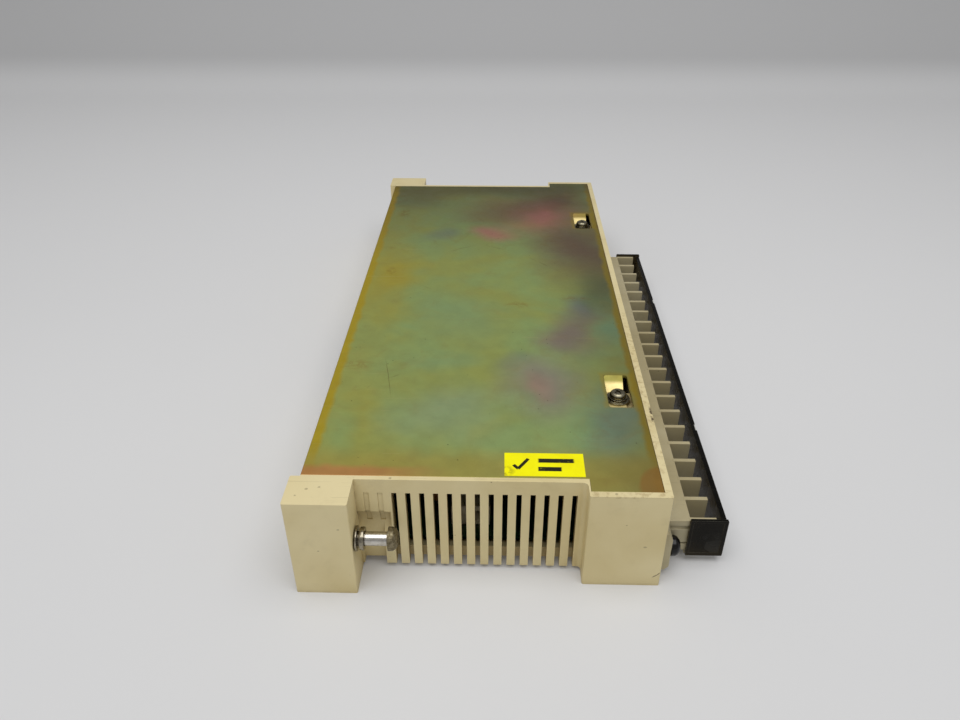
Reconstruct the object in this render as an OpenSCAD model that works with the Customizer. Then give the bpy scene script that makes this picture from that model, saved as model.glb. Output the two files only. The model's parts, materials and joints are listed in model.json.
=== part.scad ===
// Slim rack-mounted input/output module for a programmable controller, lying on its side.
// +X points from the backplane side to the terminal side, +Y from the lower end of the
// module to its upper end, +Z from the resting side to the steel cover plate. The origin is
// the centre of the bounding box, on the resting plane. Millimetres.

/* [Housing] */
// Length over the outer faces of the rear corner blocks
module_length = 250; // [249:0.5:252]
// Thickness between the resting side and the cover plate
module_width = 34.5; // [34.2:0.1:35.5]
// Depth from the rear edge of the cover plate to the front face
housing_depth = 102.6; // [102:0.1:104]
// Distance the rear corner blocks stand out behind the plate
block_proud = 2.8; // [2:0.1:3.4]
// Depth of a rear corner block
block_depth = 17.8; // [17.4:0.1:18]
// Half the length over the slotted end walls
end_wall_half = 114.6; // [114.5:0.1:114.9]
// Half the length over the front corner blocks
front_block_half = 120.1; // [119.8:0.1:121]
// Depth of a front corner block
front_block_depth = 22.5; // [22:0.1:23]
// Wall thickness of the moulding
wall = 2; // [1.8:0.1:2.1]
// Rounding of the upright corners
corner_r = 0.5; // [0.4:0.1:1.2]

/* [Ventilation] */
// Number of open slots in each end wall
slot_count = 14; // [10:1:14]
// Distance from one slot to the next
slot_pitch = 3.91; // [3.7:0.01:3.93]
// Width of a slot
slot_w = 1.5; // [1:0.1:1.6]
// Height of the slots' closed ends above the resting plane
slot_top = 29.6; // [28:0.1:31]

/* [Cover plate] */
// Sheet thickness
plate_t = 1; // [0.8:0.1:1.2]
// Half the length of the plate between the slotted walls
plate_half = 113; // [112.7:0.1:113.1]
// Drop of the fixing tongues below the plate's top
tongue_drop = 3.3; // [3:0.1:3.6]
// Positions of the two fixing screws along the module
cover_screw_y = [-70.6, 68.4];

/* [Mounting screws] */
// Shank radius of the captive mounting screws
mount_shank_r = 2; // [1.9:0.05:2.05]
// Height of the mounting screws' axis
mount_z = 17.6; // [16:0.1:19]
// Distance of each mounting screw's axis from the module's middle
mount_y = 120.4; // [120:0.1:120.6]
// Travel of a mounting screw into the rack
mount_travel = 6.4; // [5:0.1:6.4]

/* [Terminal block] */
// Number of terminals
terminal_count = 20; // [16:1:20]
// Distance from one terminal to the next
terminal_pitch = 8.85; // [8.5:0.05:8.85]
// Lower end face of the terminal block
block_y0 = -110.7; // [-111:0.1:-110.5]
// Thickness of the walls between terminals
rib_t = 1.4; // [1.2:0.1:1.6]
// Length of the terminal cover's reach past the front face
cover_reach = 20; // [19.8:0.1:20.4]

/* [Circuit board] */
// Board thickness
board_t = 1.6; // [1.2:0.2:1.6]
// Height of the board's top face
board_top = 7.4; // [7.2:0.1:7.5]

/* [Hidden] */

$fn = 48;

// Main planes along the depth
rear_face = -(housing_depth + block_proud + cover_reach) / 2;
plate_back = rear_face + block_proud;
front_face = plate_back + housing_depth;
cover_front = front_face + cover_reach;
block_front = rear_face + block_depth;
front_block_back = front_face - front_block_depth;

// Walls and the rebate that the plate lies in
front_rim = 2.1;
front_wall = 3.5;
wall_in = front_face - front_wall;
end_in = end_wall_half - wall - 0.6;
block_in = front_block_half - 3.6;
plate_front = front_face - front_rim;
plate_step = front_block_back + 0.5;
plate_step_half = front_block_half - 2.1;
plate_z = module_width - plate_t;
floor_z = 1.5;
floor_t = 2;
floor_top = floor_z + floor_t;
lip_z = 2.6;
lip_top = 6.4;
lip_t = 2;

// Slot centres along the depth: the last one is next to the front corner block
slot_last = front_block_back - 3.25;
slot_x = [for (i = [0 : slot_count - 1]) slot_last - i * slot_pitch];
blind_x = [slot_x[slot_count - 1] - slot_pitch, slot_x[slot_count - 1] - 2 * slot_pitch];

// Relief in the end wall around the captive screw
relief_r = 7.56;
groove_d = 0.3;
groove_z = mount_z + sqrt(pow(relief_r + groove_d, 2) - pow(mount_y - end_wall_half + groove_d, 2));
relief_x0 = block_front;
relief_x1 = slot_x[slot_count - 1] - slot_w / 2 - 0.6;

// Captive screw
bore_r = mount_shank_r + 0.15;
cbore_r = 3.4;
cbore_x = rear_face + 10.7;
mount_head_r = 3.4;
mount_head_h = 2.7;
mount_head_x = block_front + 9.5;
mount_tip_x = rear_face + 0.5;
ring_x = cbore_x - 0.8;
ring_t = 0.6;
groove_r = 1.55;

// Fixing tongues of the plate and the lugs below them
tongue_x0 = plate_front - 10.7;
slot_x1 = tongue_x0 + 7.7;
tongue_w = 6.3;
tongue_len = 17.9;
tongue_slope = 5;
foot_z = module_width - tongue_drop;
lug_top = foot_z - plate_t;
cover_screw_x = tongue_x0 + 3.9;
m3_r = 1.5;

// Circuit boards
board_z = board_top - board_t;
board_x0 = plate_back + 2.7;
board_x1 = wall_in - 0.7;
board_half = 108.4;
board_hole_x = [board_x0 + 7.2, board_x1 - 13];
board_hole_y = 99;

// Terminal block
base_x0 = front_face + 0.1;
base_x1 = front_face + 9.3;
rib_x1 = front_face + 16.1;
base_z0 = 2.8;
base_z1 = 15.9;
rib_z0 = 2.6;
rib_z1 = 16;
end_wall_t = 0.9;
block_y1 = block_y0 + 2 * (end_wall_t + 0.1) + terminal_count * terminal_pitch + rib_t;
base_y = [block_y0 + end_wall_t + 0.1, block_y1 - end_wall_t - 0.1];
cell_wall_y = block_y0 + end_wall_t + 0.1 + rib_t / 2;
cell_y = [for (i = [0 : terminal_count - 1]) cell_wall_y + (i + 0.5) * terminal_pitch];
ear_w = 5.4;
ear_x1 = base_x0 + 3;
ear_z0 = 2.2;
ear_z1 = 16.6;
block_screw_z = 9.6;
block_screw_y = [block_y0 - 2.6, block_y1 + 2.6];
m35_r = 1.75;
jack_head_r = 3.1;
jack_head_h = 2.7;
terminal_z = 6.3;
contact_z1 = 11.4;
contact_t = 0.9;

// Terminal cover and its hinge
cover_t = 1.8;
cover_z0 = 2.7;
cover_z1 = 16;
cover_end_z1 = 16.9;
cover_x0 = front_face + 9;
hinge_x = rib_x1 + 0.1;
hinge_z = 5;
hinge_r = 1;
hinge_lug_r = cover_front - cover_t - hinge_x - 0.3;
hinge_sweep_r = 3.7;
label_t = 0.4;
label_recess = 0.6;
notch_y = 44.5;
notch_w = 3.4;
cover_mid = (block_y0 + block_y1) / 2;

// Header between the board and the terminal block
header_x0 = wall_in - 5.2;
header_x1 = front_face - 0.2;
header_z1 = board_top + 5.2;
pin_z = 9.9;
pin_tip = front_face + 4.4;
header_y0 = cell_y[0] - terminal_pitch / 2;
header_y1 = cell_y[terminal_count - 1] + terminal_pitch / 2;

// Indicator window near the upper end of the front
window_y0 = 80;
window_y1 = 112;
window_z0 = 9;
window_z1 = 29;
led_board_x = wall_in - 5.4;
led_rows = 8;

// Backplane connector in the rear wall
plug_half = 29;
plug_z0 = board_top;
plug_z1 = board_top + 9.6;
contact_count = 25;
contact_pitch = 2;

// Board-edge connector behind the lower slots
edge_x0 = slot_x[11] + 7.3;
edge_w = 11.8;
edge_y = -board_half + 4.4;

module box(x0, x1, y0, y1, z0, z1)
    translate([x0, y0, z0]) cube([x1 - x0, y1 - y0, z1 - z0]);

// Cylinder or tube that runs along +X from x0 to x1
module rod_x(x0, x1, y, z, r, bore = 0)
    translate([x0, y, z]) rotate([0, 90, 0]) tube(r, bore, x1 - x0);

// Cylinder that runs along +Y from y0 to y1
module rod_y(x, y0, y1, z, r)
    translate([x, y0, z]) rotate([-90, 0, 0]) cylinder(r = r, h = y1 - y0);

module tube(r, bore, h) {
    if (bore > 0) {
        difference() {
            cylinder(r = r, h = h);
            translate([0, 0, -1]) cylinder(r = bore, h = h + 2);
        }
    } else {
        cylinder(r = r, h = h);
    }
}

module both_ends() {
    children();
    mirror([0, 1, 0]) children();
}

// Rectangle in plan with rounded corners
module rounded_plan(x0, x1, y0, y1, r) {
    translate([x0 + r, y0]) square([x1 - x0 - 2 * r, y1 - y0]);
    translate([x0, y0 + r]) square([x1 - x0, y1 - y0 - 2 * r]);
    for (x = [x0 + r, x1 - r], y = [y0 + r, y1 - r])
        translate([x, y]) circle(r = r);
}

// Cross recess, opening along +Z from the plane z = 0 downwards
module cross_recess(reach, width, depth) {
    for (a = [0, 90])
        rotate([0, 0, a]) translate([-reach, -width / 2, -depth]) cube([2 * reach, width, depth + 1]);
}

// Pan-head screw along +Z: the head's seat is at z = 0, the tip at z = -shank
module pan_screw(shank_r, shank, head_r, head_h) {
    difference() {
        union() {
            translate([0, 0, -shank]) cylinder(r = shank_r, h = shank);
            cylinder(r = head_r, h = head_h * 0.45);
            translate([0, 0, head_h * 0.45])
                cylinder(r1 = head_r, r2 = head_r * 0.88, h = head_h * 0.3);
            translate([0, 0, head_h * 0.75])
                cylinder(r1 = head_r * 0.88, r2 = head_r * 0.6, h = head_h * 0.25);
        }
        translate([0, 0, head_h]) cross_recess(head_r * 0.52, head_r * 0.22, head_h * 0.6);
    }
}

// Split spring washer along +Z, its two ends offset by the gap
module spring_washer(r, bore, h) {
    difference() {
        tube(r, bore, h);
        rotate([0, 0, 40]) translate([0, -0.35, -1]) rotate([20, 0, 0]) cube([r + 1, 0.6, h + 3]);
    }
}

/* ---------- housing ---------- */

module housing_blocks() {
    linear_extrude(height = module_width) {
        rounded_plan(rear_face, block_front, plate_half + 0.5, module_length / 2, corner_r);
        rounded_plan(front_block_back, front_face, 100, front_block_half, corner_r);
    }
    // fillet between the slotted wall and the front corner block
    linear_extrude(height = module_width) difference() {
        translate([front_block_back - 1.5, end_wall_half - 0.5]) square([1.6, 2]);
        translate([front_block_back - 1.5, end_wall_half + 1.5]) circle(r = 1.5);
    }
}

module plate_plan(gap) {
    translate([plate_back, -plate_half - gap])
        square([housing_depth - front_rim + gap, 2 * (plate_half + gap)]);
    translate([plate_step - gap, -plate_step_half - gap])
        square([plate_front - plate_step + 2 * gap, 2 * (plate_step_half + gap)]);
}

module housing_cavity() {
    box(plate_back + wall, wall_in, -end_in, end_in, floor_top, module_width + 1);
    box(front_block_back + 2.3, wall_in, -block_in, block_in, floor_top, module_width + 1);
    translate([0, 0, plate_z]) linear_extrude(height = 2) plate_plan(0.05);
}

// Shallow recess of the resting side, and the step up behind the ribs
module housing_underside() {
    box(plate_back - 1, wall_in - 1, -end_in + 2, end_in - 2, -1, floor_z);
    both_ends() {
        box(block_front, front_block_back, end_in - 3, end_wall_half + 3, -1, floor_z);
        box(block_front + 0.7, front_block_back - 0.7, end_in - 3, end_in, -1, lip_z);
    }
}

module vent_slots() {
    for (x = slot_x)
        box(x - slot_w / 2, x + slot_w / 2, end_in, end_wall_half + 1, -1, slot_top);
    // shallow blind grooves continue the pattern behind the screw
    for (x = blind_x) {
        box(x - slot_w / 2, x + slot_w / 2, end_wall_half - groove_d, end_wall_half + 1,
            groove_z, slot_top);
        intersection() {
            rod_x(x - slot_w / 2, x + slot_w / 2, mount_y, mount_z, relief_r + groove_d);
            box(x - 1, x + 1, end_in - 2, end_wall_half + 0.5, mount_z, groove_z + 0.5);
        }
    }
}

// Hollow in the end wall that clears a driver and fingers around the captive screw
module screw_relief() {
    intersection() {
        rod_x(relief_x0, relief_x1, mount_y, mount_z, relief_r);
        box(relief_x0, relief_x1, end_in - 4, end_wall_half + 0.01, mount_z - 5.5, mount_z + relief_r);
    }
    box(relief_x0 + 0.7, relief_x1 - 2.3, mount_y - relief_r, end_wall_half + 1, -1, mount_z);
    box(relief_x0 + 0.7, relief_x1 - 2.3, end_in - 1, end_wall_half + 1, -1, lip_z);
}

module housing_fixings() {
    // inner backing of the relief
    both_ends()
        box(block_front - 2, relief_x1 + 0.6, end_in - 2, end_in + 0.01, lip_top, plate_z);
    // raised floor strip and the lip behind the ribs
    both_ends() {
        box(block_front - 1, front_block_back + 1, end_in - 4, end_in, lip_z, lip_z + 2);
        box(block_front - 1, front_block_back + 1, end_in - lip_t, end_in, lip_z, lip_top);
    }
    for (x = board_hole_x, s = [-1, 1])
        translate([x, s * board_hole_y, floor_top - 0.5]) cylinder(r = 3.5, h = board_z - floor_top + 0.5);
    // lugs below the plate's tongues
    for (y = cover_screw_y)
        box(cover_screw_x - 4.2, wall_in + 0.5, y - 4.8, y + 4.8, lug_top - 9, lug_top);
    // bosses for the terminal block's screws
    for (y = block_screw_y) {
        rod_x(wall_in - 6, wall_in + 0.5, y, block_screw_z, 4.2);
        box(wall_in - 6, wall_in + 0.5, y - 1, y + 1, floor_top - 0.5, block_screw_z);
    }
}

module housing_shell() {
    color([0.86, 0.81, 0.66]) difference() {
        union() {
            difference() {
                union() {
                    box(plate_back, front_face, -end_wall_half, end_wall_half, 0, module_width);
                    both_ends() housing_blocks();
                }
                housing_cavity();
                housing_underside();
                both_ends() vent_slots();
            }
            housing_fixings();
        }
        both_ends() screw_relief();
        // captive screw holes: clearance bore in front, counterbore behind
        for (s = [-1, 1]) {
            rod_x(rear_face - 1, block_front + 1, s * mount_y, mount_z, bore_r);
            rod_x(rear_face - 1, cbore_x, s * mount_y, mount_z, cbore_r);
        }
        for (x = board_hole_x, s = [-1, 1])
            translate([x, s * board_hole_y, floor_top - 1]) cylinder(r = 1.25, h = 5);
        for (y = cover_screw_y)
            translate([cover_screw_x, y, lug_top - 7]) cylinder(r = 2.3, h = 8);
        for (y = block_screw_y)
            rod_x(front_face - 8, front_face + 1, y, block_screw_z, 2.8);
        // openings: terminal header, indicator window, backplane connector
        box(wall_in - 1, front_face + 1, header_y0 - 0.3, header_y1 + 0.3, board_top, header_z1 + 0.2);
        box(wall_in - 1, front_face + 1, window_y0, window_y1, window_z0, window_z1);
        box(front_face - 1.2, front_face + 1, window_y0 - 1.5, window_y1 + 1.5,
            window_z0 - 1.5, window_z1 + 1.5);
        box(plate_back - 1, plate_back + wall + 1, -plug_half - 0.2, plug_half + 0.2,
            board_z - 0.2, plug_z1 + 0.2);
    }
}

/* ---------- cover plate ---------- */

// Window of a fixing point, and the tongue that dips from its upper edge
module tongue(y) {
    translate([tongue_x0 + tongue_w + 0.1, y + 9, plate_z])
        rotate([90, 0, -90]) linear_extrude(height = tongue_w)
            polygon([[-1, 0], [-1, plate_t], [0, plate_t], [tongue_slope, plate_t - tongue_drop],
                     [tongue_len - 0.9, plate_t - tongue_drop], [tongue_len - 0.9, -tongue_drop],
                     [tongue_slope - 0.25, -tongue_drop], [-0.25, 0]]);
}

module side_cover_plate() {
    color([0.50, 0.50, 0.36]) difference() {
        union() {
            difference() {
                translate([0, 0, plate_z]) linear_extrude(height = plate_t) plate_plan(0);
                for (y = cover_screw_y)
                    translate([0, 0, plate_z - 1]) linear_extrude(height = 3)
                        rounded_plan(tongue_x0, slot_x1, y + 9 - tongue_len, y + 9, 0.9);
            }
            for (y = cover_screw_y) tongue(y);
        }
        for (y = cover_screw_y)
            translate([cover_screw_x, y, foot_z - 3]) cylinder(r = m3_r + 0.2, h = 4);
    }
}

module cover_screws() {
    color([0.75, 0.75, 0.72]) for (y = cover_screw_y)
        translate([cover_screw_x, y, foot_z + 1.4]) rotate([0, 0, 32]) pan_screw(m3_r, 8, 2.6, 1.8);
}

module cover_screw_washers() {
    color([0.70, 0.70, 0.68]) for (y = cover_screw_y) translate([cover_screw_x, y, foot_z]) {
        tube(3.9, m3_r + 0.1, 0.6);
        translate([0, 0, 0.6]) spring_washer(3, m3_r + 0.1, 0.8);
    }
}

module cover_inserts() {
    color([0.80, 0.62, 0.28]) for (y = cover_screw_y)
        translate([cover_screw_x, y, lug_top - 7]) tube(2.3, m3_r + 0.02, 7);
}

module inspection_sticker() {
    color([0.93, 0.88, 0.05])
        box(plate_back + 57, plate_back + 79.6, -112.3, -102.4, module_width, module_width + 0.1);
}

/* ---------- boards ---------- */

module main_board() {
    color([0.16, 0.36, 0.22]) difference() {
        box(board_x0, board_x1, -board_half, board_half, board_z, board_top);
        for (x = board_hole_x, s = [-1, 1])
            translate([x, s * board_hole_y, board_z - 1]) cylinder(r = 1.7, h = 4);
        // notch around the boss of the upper jack screw
        box(wall_in - 7, board_x1 + 1, block_screw_y[1] - 5, block_screw_y[1] + 5,
            board_z - 1, board_top + 1);
    }
}

module board_screws() {
    color([0.75, 0.75, 0.72]) for (x = board_hole_x, s = [-1, 1])
        translate([x, s * board_hole_y, board_top]) pan_screw(1.2, board_t + 2.2, 2.8, 1.9);
}

// Dual in-line package along Y with its legs standing on the board
module dip(x, y, length, body_w, legs) {
    translate([x, y, board_top]) {
        difference() {
            translate([-body_w / 2, -length / 2, 0.7]) cube([body_w, length, 3.3]);
            translate([0, -length / 2, 3.2]) cylinder(r = 0.9, h = 2);
        }
        for (i = [0 : legs - 1], s = [-1, 1])
            translate([s * (body_w / 2 + 0.2) - 0.2, (i - (legs - 1) / 2) * 2.54 - 0.25, 0])
                cube([0.4, 0.5, 2.2]);
    }
}

module optocouplers() {
    color([0.12, 0.12, 0.12]) for (i = [0 : 3])
        dip(header_x0 - 21, -84 + i * 42, 20, 6.4, 8);
}

module logic_chips() {
    color([0.10, 0.10, 0.11]) {
        for (i = [0 : 3]) dip(board_x0 + 42, -80 + i * 36, 19.6, 6.4, 8);
        dip(board_x0 + 24, 48, 25.4, 7.4, 10);
        dip(board_x0 + 24, -52, 25.4, 7.4, 10);
    }
}

// Axial resistor lying along X on two bent leads
module input_resistors() {
    color([0.55, 0.44, 0.30]) for (i = [2 : min(17, terminal_count - 1)])
        translate([header_x0 - 9, cell_y[i], board_top]) {
            rod_x(-4.2, 4.2, 0, 2, 1.6);
            rod_x(-5.6, 5.6, 0, 2, 0.35);
            for (x = [-5.25, 5.25]) translate([x, 0, 0]) cylinder(r = 0.35, h = 2.1);
        }
}

module ceramic_capacitors() {
    color([0.72, 0.48, 0.22]) for (i = [0 : 7])
        translate([board_x0 + 33, -92 + i * 26, board_top]) {
            translate([-1.2, -3, 1.2]) cube([2.4, 6, 5.4]);
            for (s = [-1, 1]) translate([0, s * 2, 0]) cylinder(r = 0.3, h = 1.4);
        }
}

module power_capacitors() {
    color([0.10, 0.14, 0.24]) for (y = [72, 86])
        translate([board_x0 + 22, y, board_top]) difference() {
            cylinder(r = 5, h = 12.5);
            translate([0, 0, 1.6]) difference() {
                cylinder(r = 6, h = 0.7);
                cylinder(r = 4.7, h = 0.7);
            }
        }
}

// Open-fronted board connector just behind the lower slots
module board_edge_connector() {
    color([0.86, 0.84, 0.76]) difference() {
        box(edge_x0, edge_x0 + edge_w, edge_y, edge_y + 8, board_top, board_top + 7.6);
        box(edge_x0 + 5.4, edge_x0 + edge_w - 1.4, edge_y - 1, edge_y + 6, board_top + 1.7, board_top + 5.6);
    }
}

module backplane_connector() {
    color([0.14, 0.14, 0.15]) difference() {
        union() {
            box(rear_face + 0.6, board_x0 + 9, -plug_half, plug_half, plug_z0, plug_z1);
            box(plate_back + wall + 0.3, board_x0 + 9, -plug_half - 6, plug_half + 6, plug_z0, plug_z0 + 6);
        }
        // socket slot that the rack's contact tongue enters
        box(rear_face, board_x0 + 3, -plug_half + 2, plug_half - 2, plug_z0 + 2.4, plug_z1 - 2.4);
        for (s = [-1, 1])
            translate([board_x0 + 4.5, s * (plug_half + 3), plug_z0 - 1]) cylinder(r = 1.6, h = 9);
    }
}

module backplane_contacts() {
    color([0.85, 0.68, 0.30])
        for (i = [0 : contact_count - 1], s = [-1, 1])
            translate([0, (i - (contact_count - 1) / 2) * contact_pitch, (plug_z0 + plug_z1) / 2])
                box(rear_face + 2, board_x0 + 3, -0.5, 0.5, s > 0 ? 2.1 : -2.4, s > 0 ? 2.4 : -2.1);
}

module connector_screws() {
    color([0.75, 0.75, 0.72]) for (s = [-1, 1])
        translate([board_x0 + 4.5, s * (plug_half + 3), plug_z0 + 6]) pan_screw(1.5, 6, 2.8, 1.8);
}

/* ---------- front of the board ---------- */

module terminal_header() {
    color([0.88, 0.85, 0.76]) difference() {
        box(header_x0, header_x1, header_y0, header_y1, board_top, header_z1);
        for (y = cell_y)
            box(header_x0 - 1, header_x1 + 1, y - 0.85, y + 0.85, pin_z - 0.35, pin_z + 0.35);
    }
}

// Flat pins that leave the header towards the terminal block and turn down to the board
module header_pins() {
    color([0.80, 0.78, 0.70]) for (y = cell_y) {
        box(header_x0 - 1.6, pin_tip, y - 0.8, y + 0.8, pin_z - 0.3, pin_z + 0.3);
        box(header_x0 - 1.6, header_x0 - 1, y - 0.8, y + 0.8, board_top, pin_z);
    }
}

module block_screw_inserts() {
    color([0.80, 0.62, 0.28]) for (y = block_screw_y)
        rod_x(front_face - 8, front_face - 0.1, y, block_screw_z, 2.8, m35_r + 0.05);
}

module indicator_board() {
    color([0.16, 0.36, 0.22])
        box(led_board_x, led_board_x + 1.2, window_y0 - 1, window_y1 + 2, board_top + 0.6, plate_z - 1.5);
}

module indicator_pins() {
    color([0.80, 0.78, 0.70]) for (i = [0 : 9]) translate([led_board_x, 86 + i * 2.54, 0]) {
        box(-4, 0, -0.3, 0.3, board_top + 2.4, board_top + 3);
        box(-4, -3.4, -0.3, 0.3, board_top, board_top + 2.5);
    }
}

module led_place() {
    for (i = [0 : led_rows - 1], s = [-1, 1])
        translate([0, window_y0 + 3.5 + i * 25 / (led_rows - 1), (window_z0 + window_z1) / 2 + s * 4.5])
            children();
}

module indicator_leds() {
    color([0.80, 0.12, 0.08]) led_place() translate([led_board_x + 1.2, 0, 0]) rotate([0, 90, 0]) {
        cylinder(r = 1.2, h = 1.6);
        translate([0, 0, 1.6]) cylinder(r1 = 1.2, r2 = 0.6, h = 0.6);
    }
}

module indicator_mask() {
    color([0.08, 0.08, 0.08]) difference() {
        box(wall_in - 1.6, front_face - 2.2, window_y0 + 0.2, window_y1 - 0.2,
            window_z0 + 0.2, window_z1 - 0.2);
        led_place() rod_x(wall_in - 3, front_face, 0, 0, 1.3);
    }
}

module indicator_window() {
    color([0.25, 0.05, 0.05, 0.6])
        box(front_face - 1.1, front_face + 0.1, window_y0 - 1.4, window_y1 + 1.4,
            window_z0 - 1.4, window_z1 + 1.4);
}

/* ---------- captive mounting screws ---------- */

module mounting_screw(side) {
    difference() {
        union() {
            translate([mount_head_x, side * mount_y, mount_z]) rotate([0, 90, 0])
                pan_screw(mount_shank_r, mount_head_x - mount_tip_x - 0.6, mount_head_r, mount_head_h);
            translate([mount_tip_x, side * mount_y, mount_z]) rotate([0, 90, 0])
                cylinder(r1 = mount_shank_r - 0.5, r2 = mount_shank_r, h = 0.6);
        }
        difference() {
            rod_x(ring_x, ring_x + ring_t + 0.1, side * mount_y, mount_z, mount_shank_r + 1);
            rod_x(ring_x - 1, ring_x + 2, side * mount_y, mount_z, groove_r);
        }
    }
}

module retaining_ring(side) {
    difference() {
        rod_x(ring_x + 0.05, ring_x + 0.05 + ring_t, side * mount_y, mount_z, 3.2, groove_r + 0.03);
        box(ring_x - 1, ring_x + 2, side * mount_y - 1.2, side * mount_y + 1.2, mount_z - 4, mount_z);
    }
}

module flat_washer(side)
    rod_x(block_front + 0.3, block_front + 0.9, side * mount_y, mount_z, 3.6, bore_r);

module spring_ring(side)
    translate([block_front + 1.6, side * mount_y, mount_z]) rotate([0, 90, 0])
        spring_washer(3.3, bore_r, 1.2);

module lower_mounting_screw() color([0.80, 0.80, 0.78]) mounting_screw(-1);
module upper_mounting_screw() color([0.80, 0.80, 0.78]) mounting_screw(1);
module lower_retaining_ring() color([0.45, 0.45, 0.46]) retaining_ring(-1);
module upper_retaining_ring() color([0.45, 0.45, 0.46]) retaining_ring(1);
module lower_flat_washer() color([0.78, 0.78, 0.76]) flat_washer(-1);
module upper_flat_washer() color([0.78, 0.78, 0.76]) flat_washer(1);
module lower_spring_washer() color([0.72, 0.72, 0.70]) spring_ring(-1);
module upper_spring_washer() color([0.72, 0.72, 0.70]) spring_ring(1);

/* ---------- terminal block ---------- */

// Ear with chamfered corners, seen along Y, from y0 to y1
module ear(y0, y1) {
    translate([0, y1, 0]) rotate([90, 0, 0]) linear_extrude(height = y1 - y0)
        polygon([[base_x0, ear_z0], [ear_x1 - 1.2, ear_z0], [ear_x1, ear_z0 + 1.4],
                 [ear_x1, ear_z1 - 2.3], [ear_x1 - 1.4, ear_z1], [base_x0, ear_z1]]);
}

// Wall between two terminals. Its lower front corner is hollowed out, because the cover's lower
// edge swings through there; the two outer walls carry a lug for the hinge pin.
module cell_wall(y, outer) {
    reach = rib_x1 - base_x1 + (outer ? 1.3 : 0.5);
    translate([0, y + rib_t / 2, 0]) rotate([90, 0, 0]) linear_extrude(height = rib_t) {
        difference() {
            translate([base_x1 - 0.5, rib_z0]) square([reach, rib_z1 - rib_z0]);
            intersection() {
                translate([hinge_x, hinge_z]) circle(r = hinge_sweep_r);
                translate([hinge_x - hinge_sweep_r - 1, 0]) square([hinge_sweep_r + 3, hinge_z]);
            }
        }
        if (outer) translate([hinge_x, hinge_z]) circle(r = hinge_lug_r);
    }
}

module terminal_block_body() {
    color([0.74, 0.71, 0.61]) difference() {
        union() {
            box(base_x0, base_x1, base_y[0], base_y[1], base_z0, base_z1);
            ear(block_y0 - ear_w, base_y[0] + 1.4);
            ear(base_y[1] - 1.4, block_y1 + ear_w);
            for (i = [0 : terminal_count])
                cell_wall(cell_wall_y + i * terminal_pitch, i == 0 || i == terminal_count);
        }
        // for each terminal: socket pocket, slit for the leg, seat for the plate, screw hole
        for (y = cell_y) {
            box(base_x0 - 1, base_x0 + 5.6, y - 2, y + 2, 8.5, 11.6);
            box(base_x0 + 5, base_x1 + 1, y - 1.7, y + 1.7, 10.3, 11.5);
            box(base_x1 - contact_t, base_x1 + 1, y - 3.3, y + 3.3, 3.3, contact_z1 + 0.1);
            rod_x(base_x0 + 5.2, base_x1 + 1, y, terminal_z, m3_r + 0.2);
        }
        for (y = block_screw_y)
            rod_x(base_x0 - 1, ear_x1 + 1, y, block_screw_z, m35_r + 0.15);
        // grooves in the end faces, and the step back at their foot
        for (y = base_y) {
            for (z = [[6.5, 7.1], [12.5, 13.8]])
                box(ear_x1 + 0.3, base_x1 + 1, y - 0.6, y + 0.6, z[0], z[1]);
            box(ear_x1 + 0.3, base_x1 - 0.5, y - 1.2, y + 1.2, base_z0 - 1, 4);
        }
        // holes of the cover's hinge pins
        for (y = [[block_y0 - 1, block_y0 + 3], [block_y1 - 3, block_y1 + 1]])
            rod_y(hinge_x, y[0], y[1], hinge_z, hinge_r + 0.05);
    }
}

// Plate under the screw, leg through the block and socket for the header's pin
module terminal_contacts() {
    color([0.82, 0.80, 0.74]) for (y = cell_y) difference() {
        union() {
            box(base_x1 - contact_t, base_x1, y - 3.2, y + 3.2, 3.4, contact_z1);
            box(base_x0 + 1.2, base_x1 - contact_t + 0.1, y - 1.6, y + 1.6, contact_z1 - 1, contact_z1);
            box(base_x0 + 0.8, base_x0 + 5.2, y - 1.6, y + 1.6, 8.8, contact_z1);
        }
        rod_x(base_x1 - 2, base_x1 + 2, y, terminal_z, m3_r + 0.03);
        box(base_x0, base_x0 + 5, y - 1, y + 1, pin_z - 0.5, pin_z + 0.5);
    }
}

module terminal_clamps() {
    color([0.78, 0.76, 0.70]) for (y = cell_y) difference() {
        box(base_x1 + 0.02, base_x1 + 0.9, y - 2.9, y + 2.9, terminal_z - 2.9, terminal_z + 2.9);
        rod_x(base_x1 - 1, base_x1 + 3, y, terminal_z, m3_r + 0.1);
    }
}

module terminal_screws() {
    color([0.80, 0.79, 0.75]) for (i = [0 : terminal_count - 1])
        translate([base_x1 + 0.92, cell_y[i], terminal_z]) rotate([0, 90, 0]) rotate([0, 0, 25 + i * 53])
            pan_screw(m3_r, 3.6, 2.8, 2.2);
}

module block_screw(y) {
    translate([ear_x1 + 0.1, y, block_screw_z]) rotate([0, 90, 0])
        pan_screw(m35_r, 9.5, jack_head_r, jack_head_h);
}

module lower_block_screw() color([0.07, 0.07, 0.07]) block_screw(block_screw_y[0]);
module upper_block_screw() color([0.07, 0.07, 0.07]) block_screw(block_screw_y[1]);

/* ---------- terminal cover ---------- */

module cover_end(y0, y1)
    translate([0, y1, 0]) rotate([90, 0, 0]) linear_extrude(height = y1 - y0)
        rounded_plan(cover_x0, cover_front, cover_z0, cover_end_z1, 0.4);

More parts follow.
